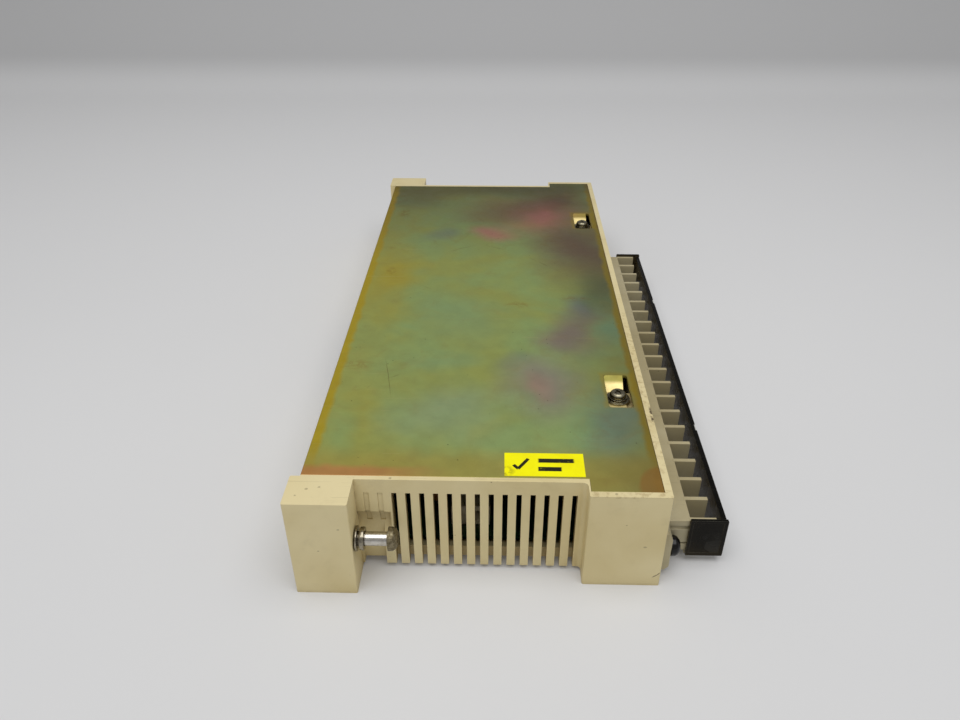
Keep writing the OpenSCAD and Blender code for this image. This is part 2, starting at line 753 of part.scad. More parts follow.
module terminal_cover() {
    color([0.08, 0.08, 0.08]) difference() {
        union() {
            box(cover_front - cover_t, cover_front - 0.2, block_y0, block_y1, cover_z0, cover_z1);
            cover_end(block_y0, block_y0 + end_wall_t);
            cover_end(block_y1 - end_wall_t, block_y1);
            rod_y(hinge_x, block_y0 + 0.5, block_y0 + end_wall_t + 1.2, hinge_z, hinge_r);
            rod_y(hinge_x, block_y1 - end_wall_t - 1.2, block_y1 - 0.5, hinge_z, hinge_r);
        }
        for (y = [block_y0, block_y1])
            box(cover_x0 + 0.9, cover_front - 1.1, y - 0.2, y + 0.2, cover_z0 + 1.1, cover_end_z1 - 0.9);
        // recess for the label, and the two notches in its upper rim
        box(cover_front - label_recess, cover_front + 1, block_y0 + 4, block_y1 - 4,
            cover_z0 + 1.4, cover_z1 - 1.6);
        for (s = [-1, 1])
            box(cover_front - label_recess, cover_front + 1, cover_mid + s * notch_y - notch_w / 2,
                cover_mid + s * notch_y + notch_w / 2, cover_z1 - 2, cover_z1 + 1);
    }
}

module terminal_label() {
    label_x0 = cover_front - label_recess;
    color([0.80, 0.80, 0.78]) {
        box(label_x0, label_x0 + label_t, block_y0 + 4.2, block_y1 - 4.2, cover_z0 + 1.5, cover_z1 - 1.7);
        // tabs that show in the notches
        for (s = [-1, 1]) translate([0, cover_mid + s * notch_y, 0])
            box(label_x0, label_x0 + label_t, 0.1 - notch_w / 2, notch_w / 2 - 0.1,
                cover_z1 - 2, cover_z1 - 0.3);
    }
}

housing_shell();
side_cover_plate();
cover_screws();
cover_screw_washers();
cover_inserts();
inspection_sticker();
main_board();
board_screws();
backplane_connector();
backplane_contacts();
connector_screws();
optocouplers();
logic_chips();
input_resistors();
ceramic_capacitors();
power_capacitors();
board_edge_connector();
terminal_header();
header_pins();
block_screw_inserts();
indicator_board();
indicator_pins();
indicator_leds();
indicator_mask();
indicator_window();
lower_mounting_screw();
lower_retaining_ring();
lower_flat_washer();
lower_spring_washer();
upper_mounting_screw();
upper_retaining_ring();
upper_flat_washer();
upper_spring_washer();
terminal_block_body();
terminal_contacts();
terminal_clamps();
terminal_screws();
lower_block_screw();
upper_block_screw();
terminal_cover();
terminal_label();
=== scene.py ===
import json
import math

import bmesh
import bpy
from mathutils import Matrix, Vector, geometry, kdtree


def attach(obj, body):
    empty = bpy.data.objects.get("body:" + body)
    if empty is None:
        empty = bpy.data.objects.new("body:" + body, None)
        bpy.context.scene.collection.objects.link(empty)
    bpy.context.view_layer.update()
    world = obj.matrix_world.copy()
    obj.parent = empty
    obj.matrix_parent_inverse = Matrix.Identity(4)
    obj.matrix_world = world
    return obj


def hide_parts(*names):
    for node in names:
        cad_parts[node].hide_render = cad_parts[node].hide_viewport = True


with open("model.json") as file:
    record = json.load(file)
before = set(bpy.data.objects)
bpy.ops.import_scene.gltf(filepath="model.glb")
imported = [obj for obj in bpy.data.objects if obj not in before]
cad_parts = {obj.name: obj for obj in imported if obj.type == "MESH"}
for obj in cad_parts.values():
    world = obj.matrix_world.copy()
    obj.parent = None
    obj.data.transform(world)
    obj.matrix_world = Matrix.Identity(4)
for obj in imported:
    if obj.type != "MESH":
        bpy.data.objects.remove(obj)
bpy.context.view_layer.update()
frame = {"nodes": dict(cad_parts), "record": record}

MM = 0.001
RECORD = frame["record"]
BODY = {n: b for b, names in RECORD["behaviour"]["bodies"].items() for n in names}
SLOT = {s["node"]: s["material_slot"] for s in RECORD["subparts"]}
scene = bpy.context.scene


# ---------------------------------------------------------------- materials

class Shader:
    """A Principled material and short calls for the nodes that feed it. Lengths are in mm."""

    def __init__(self, name, **constants):
        self.mat = bpy.data.materials.new(name)
        self.mat.use_nodes = True
        self.nodes = self.mat.node_tree.nodes
        self.links = self.mat.node_tree.links
        self.bsdf = next(n for n in self.nodes if n.type == "BSDF_PRINCIPLED")
        for key, value in constants.items():
            self.bsdf.inputs[key.replace("_", " ")].default_value = value
        self.place = self.node("ShaderNodeTexCoord").outputs["Object"]
        self.normal = None

    def node(self, kind, **settings):
        n = self.nodes.new(kind)
        for key, value in settings.items():
            setattr(n, key, value)
        return n

    def put(self, socket, value):
        if isinstance(value, bpy.types.NodeSocket):
            self.links.new(value, socket)
        else:
            socket.default_value = value

    def set(self, name, value):
        self.put(self.bsdf.inputs[name], value)

    def stretch(self, scale, turn=(0, 0, 0), move=(0, 0, 0), vector=None):
        n = self.node("ShaderNodeMapping")
        self.put(n.inputs["Vector"], vector or self.place)
        n.inputs["Location"].default_value = move
        n.inputs["Rotation"].default_value = turn
        n.inputs["Scale"].default_value = scale
        return n.outputs[0]

    def noise(self, size, detail=3, rough=0.5, warp=0, vector=None):
        n = self.node("ShaderNodeTexNoise")
        self.put(n.inputs["Vector"], vector or self.place)
        n.inputs["Scale"].default_value = 1000 / size
        n.inputs["Detail"].default_value = detail
        n.inputs["Roughness"].default_value = rough
        n.inputs["Distortion"].default_value = warp
        return n.outputs["Fac"]

    def cells(self, size, vector=None, feature="F1"):
        n = self.node("ShaderNodeTexVoronoi", feature=feature)
        self.put(n.inputs["Vector"], vector or self.place)
        n.inputs["Scale"].default_value = 1000 / size
        return n.outputs["Distance"]

    def calc(self, kind, a, b=0.0, clamp=False):
        n = self.node("ShaderNodeMath", operation=kind, use_clamp=clamp)
        self.put(n.inputs[0], a)
        self.put(n.inputs[1], b)
        return n.outputs[0]

    def both(self, a, b):
        """The product of two masks, or of a mask and a share."""
        return self.calc("MULTIPLY", a, b)

    def most(self, a, b):
        """The larger of two masks."""
        return self.calc("MAXIMUM", a, b)

    def span(self, value, low, high, out_low=0.0, out_high=1.0):
        """value runs from low to high; the result runs from out_low to out_high, clamped."""
        n = self.node("ShaderNodeMapRange", interpolation_type="SMOOTHSTEP")
        self.put(n.inputs["Value"], value)
        n.inputs["From Min"].default_value = low
        n.inputs["From Max"].default_value = high
        n.inputs["To Min"].default_value = out_low
        n.inputs["To Max"].default_value = out_high
        return n.outputs[0]

    def mix(self, share, a, b, kind="MIX"):
        n = self.node("ShaderNodeMix", data_type="RGBA", blend_type=kind)
        self.put(n.inputs[0], share)
        self.put(n.inputs[6], a)
        self.put(n.inputs[7], b)
        return n.outputs[2]

    def axis(self, name, vector=None):
        """One coordinate in the row frame, in mm."""
        n = self.node("ShaderNodeSeparateXYZ")
        self.put(n.inputs[0], vector or self.place)
        return self.calc("MULTIPLY", n.outputs[name], 1000)

    def wobble(self, size, by):
        """Object coordinates shifted about unevenly, by up to that many mm."""
        cloud = self.node("ShaderNodeTexNoise")
        self.put(cloud.inputs["Vector"], self.place)
        cloud.inputs["Scale"].default_value = 1000 / size
        cloud.inputs["Detail"].default_value = 3
        n = self.node("ShaderNodeVectorMath", operation="MULTIPLY_ADD")
        self.put(n.inputs[0], cloud.outputs["Color"])
        n.inputs[1].default_value = (2 * by * MM, 2 * by * MM, 0)
        low = self.node("ShaderNodeVectorMath", operation="SUBTRACT")
        self.put(low.inputs[0], self.place)
        low.inputs[1].default_value = (by * MM, by * MM, 0)
        self.put(n.inputs[2], low.outputs[0])
        return n.outputs[0]

    def near(self, centre, radii, soft, warp=None):
        """1 inside an ellipsoid round centre, falling to 0 at its surface; lengths in mm."""
        move = [-c / r for c, r in zip(centre, radii)]
        v = self.stretch([1000 / r for r in radii], move=move, vector=warp)
        n = self.node("ShaderNodeVectorMath", operation="LENGTH")
        self.put(n.inputs[0], v)
        return self.span(n.outputs["Value"], 1, 1 - soft)

    def bar(self, centre, half, turn=(0, 0, 0), soft=0.2, vector=None):
        """1 inside a turned box, 0 outside it; lengths in mm."""
        n = self.node("ShaderNodeMapping", vector_type="TEXTURE")
        self.put(n.inputs["Vector"], vector or self.place)
        n.inputs["Location"].default_value = [c * MM for c in centre]
        n.inputs["Rotation"].default_value = turn
        n.inputs["Scale"].default_value = [h * MM for h in half]
        split = self.node("ShaderNodeSeparateXYZ")
        self.put(split.inputs[0], n.outputs[0])
        x, y, z = (self.calc("ABSOLUTE", split.outputs[a]) for a in "XYZ")
        return self.span(self.most(x, self.most(y, z)), 1, 1 - soft)

    def stroke(self, start, end, width, soft, vector):
        """1 along a straight line between two points in the row frame; lengths in mm."""
        a, b = Vector(start), Vector(end)
        turn = (b - a).to_track_quat("X", "Z").to_euler()
        return self.bar((a + b) / 2, ((b - a).length / 2, width / 2, width / 2), turn, soft, vector)

    def edges(self, radius):
        """Close to 1 on the object's edges, 0 on its open faces."""
        bevel = self.node("ShaderNodeBevel", samples=4)
        bevel.inputs["Radius"].default_value = radius * MM
        dot = self.node("ShaderNodeVectorMath", operation="DOT_PRODUCT")
        self.put(dot.inputs[0], bevel.outputs[0])
        self.put(dot.inputs[1], self.node("ShaderNodeNewGeometry").outputs["Normal"])
        return self.span(dot.outputs["Value"], 0.98, 0.7)

    def hollows(self, distance, low, high):
        """Close to 1 in corners and hollows."""
        ao = self.node("ShaderNodeAmbientOcclusion", samples=6)
        ao.inputs["Distance"].default_value = distance * MM
        return self.span(ao.outputs["AO"], high, low)

    def bump(self, height, depth, strength):
        """Relief of that depth in mm, on top of what is already there."""
        n = self.node("ShaderNodeBump")
        n.inputs["Strength"].default_value = strength
        n.inputs["Distance"].default_value = depth * MM
        self.put(n.inputs["Height"], height)
        if self.normal:
            self.put(n.inputs["Normal"], self.normal)
        self.normal = n.outputs[0]

    def done(self):
        if self.normal:
            self.put(self.bsdf.inputs["Normal"], self.normal)
        return self.mat


def rgb(r, g, b):
    """A colour as seen on a screen, 0 to 255, as the shader's linear values."""
    def linear(c):
        c /= 255
        return c / 12.92 if c <= 0.04045 else ((c + 0.055) / 1.055) ** 2.4
    return (linear(r), linear(g), linear(b), 1.0)


def scratches(s, length, width, turn, density):
    """Fine straight scratches: a noise that is very long one way and very narrow the other."""
    v = s.stretch((width / length, 1, width / length), turn=(0, 0, turn))
    lines = s.noise(width * 6, 2, 0.5, 0, v)
    breaks = s.noise(length * 0.5, 1, 0.5)
    return s.both(s.span(lines, 0.66, 0.70), s.span(breaks, 1 - density, 1.02 - density))


def moulded(name, light, dark, grime, gloss=0.5):
    """Textured moulding that has yellowed, with dirt in its corners and rubbed edges."""
    s = Shader(name, Specular_IOR_Level=0.42)
    patches = s.noise(38, 3, 0.55, 0.6)
    colour = s.mix(s.span(patches, 0.35, 0.68), light, dark)
    clouds = s.noise(7, 4, 0.6, 0.3)
    colour = s.mix(s.span(clouds, 0.5, 0.85, 0, 0.12), colour, grime)
    rubbed = s.both(s.edges(0.5), s.span(s.noise(3, 3), 0.35, 0.6))
    colour = s.mix(s.both(rubbed, 0.35), colour, [min(1, c * 1.12) for c in light[:3]] + [1])
    dirt = s.both(s.hollows(1.6, 0.35, 0.85), s.span(s.noise(5, 3, 0.6), 0.3, 0.62))
    colour = s.mix(s.both(dirt, 0.5), colour, grime)
    spots = s.span(s.cells(5.5), 0.055, 0.03)
    spots = s.both(spots, s.span(s.noise(19, 2), 0.52, 0.6))
    colour = s.mix(s.both(spots, 0.6), colour, [c * 0.35 for c in grime[:3]] + [1])
    lines = s.calc("ADD", scratches(s, 22, 0.06, 0.7, 0.5), scratches(s, 15, 0.05, -0.4, 0.45), True)
    colour = s.mix(s.both(lines, 0.25), colour, [c * 0.6 for c in grime[:3]] + [1])
    s.set("Base Color", colour)
    rough = s.span(s.noise(9, 4, 0.6), 0.3, 0.7, gloss - 0.09, gloss + 0.09)
    s.set("Roughness", s.calc("SUBTRACT", rough, s.both(rubbed, 0.12)))
    s.bump(s.noise(0.32, 2, 0.6), 0.012, 0.7)
    s.bump(s.noise(14, 2, 0.4), 0.08, 0.5)
    s.bump(lines, -0.02, 0.5)
    return s


def housing_material():
    """The cream moulding with the marks of its life in a cabinet, and painted shade in its deep hollows.
    """
    s = moulded("cream_moulding", rgb(224, 209, 162), rgb(214, 197, 146), rgb(116, 90, 50))
    colour = s.bsdf.inputs["Base Color"].links[0].from_socket
    uneven = s.wobble(3, 0.5)
    broken = s.span(s.noise(1.8, 3, 0.6), 0.4, 0.55)
    marks = s.stroke((40.2, -120.1, 3.2), (42.7, -120.1, 5.6), 0.4, 0.6, uneven)
    scuff = s.bar((42.6, -83, 34.2), (0.7, 5.5, 1.2), soft=0.6, vector=uneven)
    marks = s.most(marks, s.both(scuff, broken))
    for place, size in (
        ((-57, -118.8, 34.5), 0.5), ((-53.6, -118, 34.5), 0.4), ((-59.5, -121.5, 34.5), 0.3),
        ((27.4, -118.9, 34.5), 0.5), ((37, -120.1, 15.6), 0.5), ((-34.6, -113.9, 34.5), 0.45),
        ((-48.1, -125, 25.4), 0.4), ((-54.5, -125, 17), 0.35), ((31, -120.1, 24), 0.3),
    ):
        spot = s.near(place, (size * 1.2, size, size * 0.8), 0.5, s.wobble(0.8, 0.3))
        marks = s.most(marks, s.both(spot, 0.45))
    rim = s.both(s.hollows(0.7, 0.35, 0.8), s.span(s.noise(1.6, 4, 0.7), 0.5, 0.6))
    dusty = s.most(s.bar((30, -118.7, 34.6), (15, 2.2, 0.7), soft=0.3, vector=uneven),
                   s.bar((42, -66, 34.6), (1.6, 54, 0.7), soft=0.3, vector=uneven))
    dusty = s.both(dusty, s.span(s.noise(1.9, 4, 0.7), 0.46, 0.7, 0.03, 0.5))
    colour = s.mix(dusty, colour, rgb(150, 124, 76))
    on_top = s.span(s.axis("Z"), 33.5, 34.2)
    marks = s.most(marks, s.both(s.both(rim, on_top), 0.8))
    # painted shade: brown darkening in deep hollows and between parts, where light is kept off
    colour = s.mix(s.both(s.hollows(9, 0.2, 0.75), 0.5), colour, rgb(168, 144, 84))
    s.set("Base Color", s.mix(s.both(marks, 0.9), colour, rgb(66, 48, 28)))
    return s.done()


def sticker_material(node):
    """Printed film: a tick and two plain bars in black on yellow."""
    s = Shader("sticker_yellow", Specular_IOR_Level=0.2)
    low, high = (Vector(map(pick, zip(*(v.co for v in node.data.vertices)))) / MM for pick in (min, max))
    mid = (low + high) / 2
    tone = s.mix(s.span(s.noise(6, 4, 0.6), 0.35, 0.65), rgb(252, 246, 4), rgb(246, 236, 2))
    corner = s.near((low.x + 0.4, low.y + 2, mid.z), (3.6, 3, 9), 0.9)
    dirt = s.both(corner, s.span(s.noise(1.5, 4), 0.4, 0.6))
    tone = s.mix(s.both(dirt, 0.6), tone, rgb(90, 74, 20))
    ink = None
    for start, end, width in (
        ((-8.8, -0.2), (-7.3, -2.0), 1.1), ((-7.6, -2.1), (-4.4, 2.6), 1.1),
        ((-2, 1.7), (8.8, 1.7), 1.9), ((-2, -1.9), (5, -1.9), 1.9),
    ):
        a, b = (Vector((x, y, 0)) + mid for x, y in (start, end))
        line = s.stroke(a, b, width, 0.12, s.wobble(0.7, 0.06))
        ink = line if ink is None else s.most(ink, line)
    worn = s.span(s.noise(0.9, 4, 0.6), 0.28, 0.42, 0.75, 1.0)
    s.set("Base Color", s.mix(s.both(ink, worn), tone, rgb(34, 32, 20)))
    s.set("Roughness", s.span(s.noise(4, 3), 0.3, 0.7, 0.36, 0.5))
    s.bump(s.noise(5, 2), 0.05, 0.5)
    s.bump(s.noise(0.5, 2), 0.004, 0.5)
    return s.done()


def metal(name, colour, stain, gloss, stains=0.5):
    """Plated metal with dull stains, fine scratches and a slight waviness."""
    s = Shader(name, Metallic=1.0)
    tone = s.span(s.noise(1.6, 4, 0.6, 0.4), 0.45, 0.75, 0, stains)
    base = s.mix(tone, colour, stain)
    dirt = s.hollows(0.6, 0.3, 0.8)
    base = s.mix(s.both(dirt, 0.7), base, [c * 0.3 for c in stain[:3]] + [1])
    s.set("Base Color", base)
    fine = s.noise(0.5, 3, 0.6)
    s.set("Roughness", s.calc("ADD", s.span(fine, 0.3, 0.7, gloss - 0.08, gloss + 0.1), s.both(tone, 0.3)))
    s.bump(fine, 0.006, 0.6)
    return s.done()


def captive_screw_material():
    """Nickel-plated shank with a dull, browned head and a browned hollow next to the washers."""
    s = Shader("nickel_steel", Metallic=1.0)
    stained = s.span(s.noise(1.4, 4, 0.65, 0.4), 0.4, 0.72)
    head = s.span(s.axis("X"), -35.9, -35.5)
    worn = s.mix(s.span(s.noise(0.8, 4, 0.7), 0.35, 0.65), rgb(148, 138, 112), rgb(102, 92, 68))
    base = s.mix(s.both(stained, 0.35), rgb(206, 202, 194), rgb(134, 122, 100))
    base = s.mix(head, base, worn)
    washers = s.both(s.span(s.axis("X"), -41.6, -42.2), 0.75)
    base = s.mix(washers, base, worn)
    base = s.mix(s.both(s.hollows(1.2, 0.3, 0.8), 0.75), base, rgb(58, 48, 30))
    s.set("Base Color", base)
    fine = s.noise(0.4, 3, 0.6, 0, s.stretch((0.15, 1, 1)))
    rough = s.span(fine, 0.3, 0.7, 0.16, 0.3)
    s.set("Roughness", s.calc("ADD", rough, s.both(head, 0.3), True))
    s.bump(fine, 0.006, 0.6)
    s.bump(s.both(s.noise(0.5, 3, 0.7), head), 0.03, 0.6)
    return s.done()


def plain(name, light, dark, gloss, size=3, grain=0.4, depth=0.01, **constants):
    """Small-part finish: two close tones, uneven gloss and a fine grain."""
    s = Shader(name, **constants)
    s.set("Base Color", s.mix(s.span(s.noise(size, 4, 0.6), 0.35, 0.65), light, dark))
    s.set("Roughness", s.span(s.noise(size * 0.6, 3), 0.3, 0.7, gloss - 0.06, gloss + 0.08))
    s.bump(s.noise(grain, 2), depth, 0.6)
    return s.done()


def chromated_steel():
    """Zinc plate with yellow chromate: a thin film whose colour changes with its thickness, and a painted
    pool of light towards its near corner.
    """
    s = Shader("chromated_steel", Metallic=0.55, Specular_IOR_Level=0.3)
    warp = s.wobble(36, 15)
    ragged = s.wobble(6, 1.5)
    top = 34.5                               # height of the plate's face
    gold, brown, red = rgb(160, 138, 30), rgb(124, 90, 44), rgb(172, 112, 80)
    teal, mauve, pink = rgb(116, 148, 124), rgb(128, 122, 122), rgb(176, 108, 116)
    blue, grey = rgb(106, 114, 122), rgb(92, 88, 70)
    colour = s.mix(s.span(s.noise(34, 3, 0.5, 0.5), 0.36, 0.64), rgb(138, 144, 88), rgb(130, 148, 104))
    for tint, share, centre, radii in (
        (gold, 0.6, (-52, 12, top), (17, 60, 30)),
        (gold, 0.3, (-50, -64, top), (20, 56, 30)),
        (rgb(122, 150, 112), 0.5, (-53, -92, top), (8, 26, 30)),
        (rgb(130, 146, 122), 0.8, (-21, -86, top), (28, 22, 30)),
        (teal, 0.5, (-22, -22, top), (24, 26, 30)),
        (teal, 0.6, (31, -88, top), (16, 22, 30)),
        (teal, 0.4, (-22, -52, top), (16, 12, 30)),
        (mauve, 0.9, (10, -70, top), (24, 24, 30)),
        (rgb(108, 94, 82), 1.0, (30, 40, top), (30, 52, 30)),
        (rgb(118, 96, 84), 0.8, (2, 82, top), (34, 24, 30)),
        (rgb(96, 78, 68), 0.85, (24, 90, top), (28, 30, 30)),
        (pink, 0.45, (16, 70, top), (26, 26, 30)),
        (pink, 0.7, (-4, 53, top), (14, 17, 30)),
        (pink, 0.4, (15, 70, top), (12, 16, 30)),
        (blue, 0.45, (-28, 53, top), (13, 13, 30)),
        (blue, 0.8, (28, -18, top), (12, 14, 30)),
        (rgb(122, 108, 112), 0.9, (22, -36, top), (17, 26, 30)),
        (rgb(84, 94, 78), 0.7, (36, 0, top), (14, 30, 30)),
        (teal, 0.8, (37, -30, top), (8, 16, 30)),
        (rgb(112, 128, 122), 0.7, (34, -84, top), (10, 26, 30)),
        (rgb(150, 136, 76), 0.5, (24, -111, top), (16, 9, 30)),
        (blue, 0.35, (1, -55, top), (12, 12, 30)),
        (pink, 0.22, (7, -72, top), (10, 8, 30)),
        (grey, 0.6, (-46, 98, top), (34, 22, 30)),
        (grey, 0.6, (0, 106, top), (60, 16, 30)),
    ):
        colour = s.mix(s.both(s.near(centre, radii, 0.95, warp), share), colour, tint)
    x, y = (s.axis(a, ragged) for a in "XY")
    colour = s.mix(s.span(x, -56, -58, 0, 0.9), colour, gold)
    colour = s.mix(s.both(s.span(x, 37.4, 39.4), s.span(x, 42, 39.8)), colour, rgb(140, 126, 52))
    colour = s.mix(s.span(x, 39.8, 41.6, 0, 0.85), colour, brown)
    colour = s.mix(s.span(y, -98, -108, 0, 0.75), colour, rgb(146, 134, 72))
    foot = s.both(s.span(y, -107.8, -110.8), s.span(x, -14, -44))
    colour = s.mix(s.both(foot, 0.7), colour, red)
    stain = s.near((42, -117, top), (9, 11, 30), 0.2, ragged)
    colour = s.mix(s.both(stain, 0.6), colour, rgb(150, 106, 54))
    colour = s.mix(s.span(y, 96, 116, 0, 0.5), colour, rgb(66, 62, 48))
    for window in (-69.7, 69.2):
        seam = s.bar((34.2, window, top), (6.4, 11, 9), soft=0.25, vector=ragged)
        colour = s.mix(s.both(seam, 0.45), colour, gold)
    fog = s.span(s.noise(17, 5, 0.65, 1.2), 0.5, 0.75, 0, 0.2)
    colour = s.mix(fog, colour, rgb(134, 118, 76))
    smear = s.both(s.span(s.noise(8, 4, 0.6, 1.2), 0.5, 0.75), s.span(s.noise(34, 2), 0.48, 0.6, 0, 0.35))
    for centre, radii in (
        ((-53, -57, top), (8, 4, 30)), ((25, -9, top), (9, 3, 30)), ((2, -14, top), (7, 3, 30)),
        ((-51, 77, top), (5, 8, 30)), ((-52, 37, top), (3, 3, 30)), ((-50, 14, top), (3, 5, 30)),
    ):
        blotch = s.both(s.near(centre, radii, 0.9, ragged), s.span(s.noise(3, 4, 0.7, 1), 0.38, 0.6))
        smear = s.most(smear, s.both(blotch, 0.9))
    colour = s.mix(s.both(smear, 0.5), colour, rgb(112, 84, 46))
    rub = s.edges(0.6)
    colour = s.mix(s.both(rub, 0.6), colour, rgb(74, 58, 34))
    dots = s.both(s.span(s.cells(3.4), 0.07, 0.045), s.span(s.noise(24, 2), 0.5, 0.58))
    colour = s.mix(s.both(dots, 0.75), colour, rgb(54, 46, 30))
    marks = s.stroke((-44.1, -50.7, top), (-38.6, -76.9, top), 0.34, 0.8, s.wobble(14, 0.7))
    for start, end in (
        ((-49, -73), (-44.5, -66.6)), ((-44.5, -66.6), (-36.8, -61.8)), ((-41.4, 6.4), (-31.4, -2.1)),
        ((-29.6, 31.8), (-13.8, 41.5)), ((-13.8, 41.5), (3, 33)), ((3, 33), (26, 8)),
    ):
        arc = s.stroke((*start, top), (*end, top), 0.8, 0.9, s.wobble(11, 1.3))
        marks = s.most(marks, s.both(arc, s.span(s.noise(5, 3), 0.4, 0.62, 0, 0.7)))
    colour = s.mix(s.both(marks, 0.6), colour, rgb(84, 68, 40))
    lines = s.calc("ADD", scratches(s, 26, 0.05, 1.1, 0.42), scratches(s, 34, 0.05, 0.2, 0.38), True)
    colour = s.mix(s.both(lines, 0.22), colour, rgb(176, 168, 128))
    # painted light: the plate is multiplied lighter towards its near left corner, and painted darker and
    # warmer away from it
    painted_light_pool = s.both(s.span(y, 88, 10), s.span(x, 40, 10))
    colour = s.mix(1.0, colour, s.mix(painted_light_pool, (1.0, 0.94, 0.8, 1), (1.42, 1.42, 1.1, 1)), "MULTIPLY")
    tongue = s.span(s.axis("Z"), 33.6, 32.6)
    colour = s.mix(tongue, colour, rgb(236, 216, 150))
    s.set("Base Color", colour)
    rough = s.span(s.noise(6, 5, 0.65), 0.3, 0.7, 0.42, 0.56)
    s.set("Roughness", s.calc("ADD", rough, s.both(smear, 0.15)))
    s.bump(s.noise(30, 2, 0.4), 0.12, 0.5)
    s.bump(s.noise(0.4, 3, 0.6, 0, s.stretch((1, 0.12, 1))), 0.004, 0.5)
    s.bump(lines, -0.01, 0.4)
    return s.done()


def cover_material():
    """Glossy black moulding with specks of dust, greyed at its edges by wear and a painted highlight, with
    a painted warm reflection and painted brown shade in its hollows.
    """
    # painted reflection: a warm specular tint
    s = Shader("cover_black", Specular_IOR_Level=0.12, Specular_Tint=(1, 0.9, 0.74, 1),
               Coat_Weight=0.03, Coat_Roughness=0.1)
    dust = s.span(s.noise(3, 6, 0.75), 0.4, 0.85, 0, 0.09)
    base = s.mix(dust, rgb(8, 8, 7), rgb(58, 56, 48))
    # painted shade and reflection: warm brown in the deep hollows, inside the cells
    base = s.mix(s.both(s.hollows(9, 0.25, 0.95), 0.9), base, rgb(72, 62, 42))
    # greyer edges: partly rubbed wear, partly a painted highlight
    rub = s.both(s.edges(0.35), s.span(s.noise(6, 3), 0.25, 0.55))
    base = s.mix(s.both(rub, 0.65), base, rgb(98, 95, 86))
    lines = scratches(s, 14, 0.05, 0.9, 0.5)
    base = s.mix(s.both(lines, 0.15), base, rgb(96, 95, 90))
    s.set("Base Color", base)
    s.set("Roughness", s.span(s.noise(5, 4, 0.6), 0.3, 0.7, 0.24, 0.32))
    s.bump(s.noise(12, 2), 0.006, 0.5)
    s.bump(lines, -0.01, 0.5)
    return s.done()


def board_material():
    """Green resist over a pattern of tracks and pads."""
    s = Shader("board_green", Coat_Weight=0.3, Coat_Roughness=0.2)
    tracks = s.span(s.cells(3.4, s.stretch((1, 0.3, 1)), "DISTANCE_TO_EDGE"), 0.08, 0.05)
    base = s.mix(s.both(tracks, 0.6), rgb(12, 48, 28), rgb(34, 82, 44))
    base = s.mix(s.span(s.noise(8, 3), 0.5, 0.8, 0, 0.4), base, rgb(20, 40, 24))
    s.set("Base Color", base)
    s.set("Roughness", s.span(s.noise(2, 3), 0.3, 0.7, 0.3, 0.45))
    s.bump(tracks, 0.035, 0.8)
    return s.done()


MATERIALS = {
    "cream_moulding": housing_material(),
    "grey_cream_moulding": moulded(
        "grey_cream_moulding", rgb(184, 174, 142), rgb(170, 158, 122), rgb(84, 72, 46), 0.48).done(),
    "chromated_steel": chromated_steel(),
    "zinc_screw": metal("zinc_screw", rgb(150, 144, 122), rgb(84, 74, 52), 0.26, 0.75),
    "brass_insert": metal("brass_insert", rgb(206, 172, 96), rgb(130, 96, 52), 0.3),
    "sticker_yellow": sticker_material(frame["nodes"]["inspection_sticker"]),
    "board_green": board_material(),
    "connector_black": plain("connector_black", rgb(40, 40, 42), rgb(30, 30, 31), 0.42),
    "gold_contact": metal("gold_contact", rgb(226, 192, 110), rgb(170, 128, 70), 0.22),
    "chip_black": plain("chip_black", rgb(34, 34, 36), rgb(26, 26, 27), 0.5, 2, 0.25, 0.012),
    "resistor_tan": plain("resistor_tan", rgb(168, 138, 98), rgb(150, 120, 82), 0.3, 2),
    "capacitor_orange": plain("capacitor_orange", rgb(190, 128, 60), rgb(172, 110, 48), 0.35, 2),
    "capacitor_sleeve": plain("capacitor_sleeve", rgb(28, 34, 58), rgb(22, 26, 44), 0.25, 4),
    "connector_cream": plain("connector_cream", rgb(222, 214, 190), rgb(210, 200, 172), 0.42, 4),
    "tinned_contact": metal("tinned_contact", rgb(204, 200, 190), rgb(140, 128, 108), 0.3),
    "led_red": plain("led_red", rgb(170, 30, 22), rgb(140, 22, 16), 0.15, 2, Transmission_Weight=0.3),
    "window_smoke": plain(
        "window_smoke", rgb(70, 18, 16), rgb(58, 14, 13), 0.12, 8, 2, 0.01, Transmission_Weight=0.55),
    "nickel_steel": captive_screw_material(),
    "spring_steel": metal("spring_steel", rgb(120, 118, 114), rgb(70, 62, 54), 0.35),
    "black_oxide": plain(
        "black_oxide", rgb(9, 9, 8), rgb(20, 18, 15), 0.14, 1.2, 0.4, 0.006, Specular_IOR_Level=0.3),
    "cover_black": cover_material(),
    "label_card": plain("label_card", rgb(206, 206, 200), rgb(190, 190, 184), 0.6, 5, 0.3, 0.01),
}


# ---------------------------------------------------------------- shapes

WELD = 2e-6                                  # m; vertices closer than this become one
FLAT = math.cos(math.radians(0.6))           # neighbours closer to one plane than this are joined
SHARP = math.radians(32)                     # edges that turn by more than this are rounded
STRAIGHT = -0.99995                          # cosine between the two sides of a vertex on a line
RUNS_ON = -0.8                               # cosine between two edges that carry one rounding on
FOLD = 4e-9                                  # m2; folded triangles smaller than half this don't show
TINY = 1e-9                                  # m; shorter than any real edge
GAP_SHARE = 0.45                             # of the gap to the next edge, what a rounding may take
TURNS_OFF = 0.6                              # sine from which an edge at the same corner is in the way


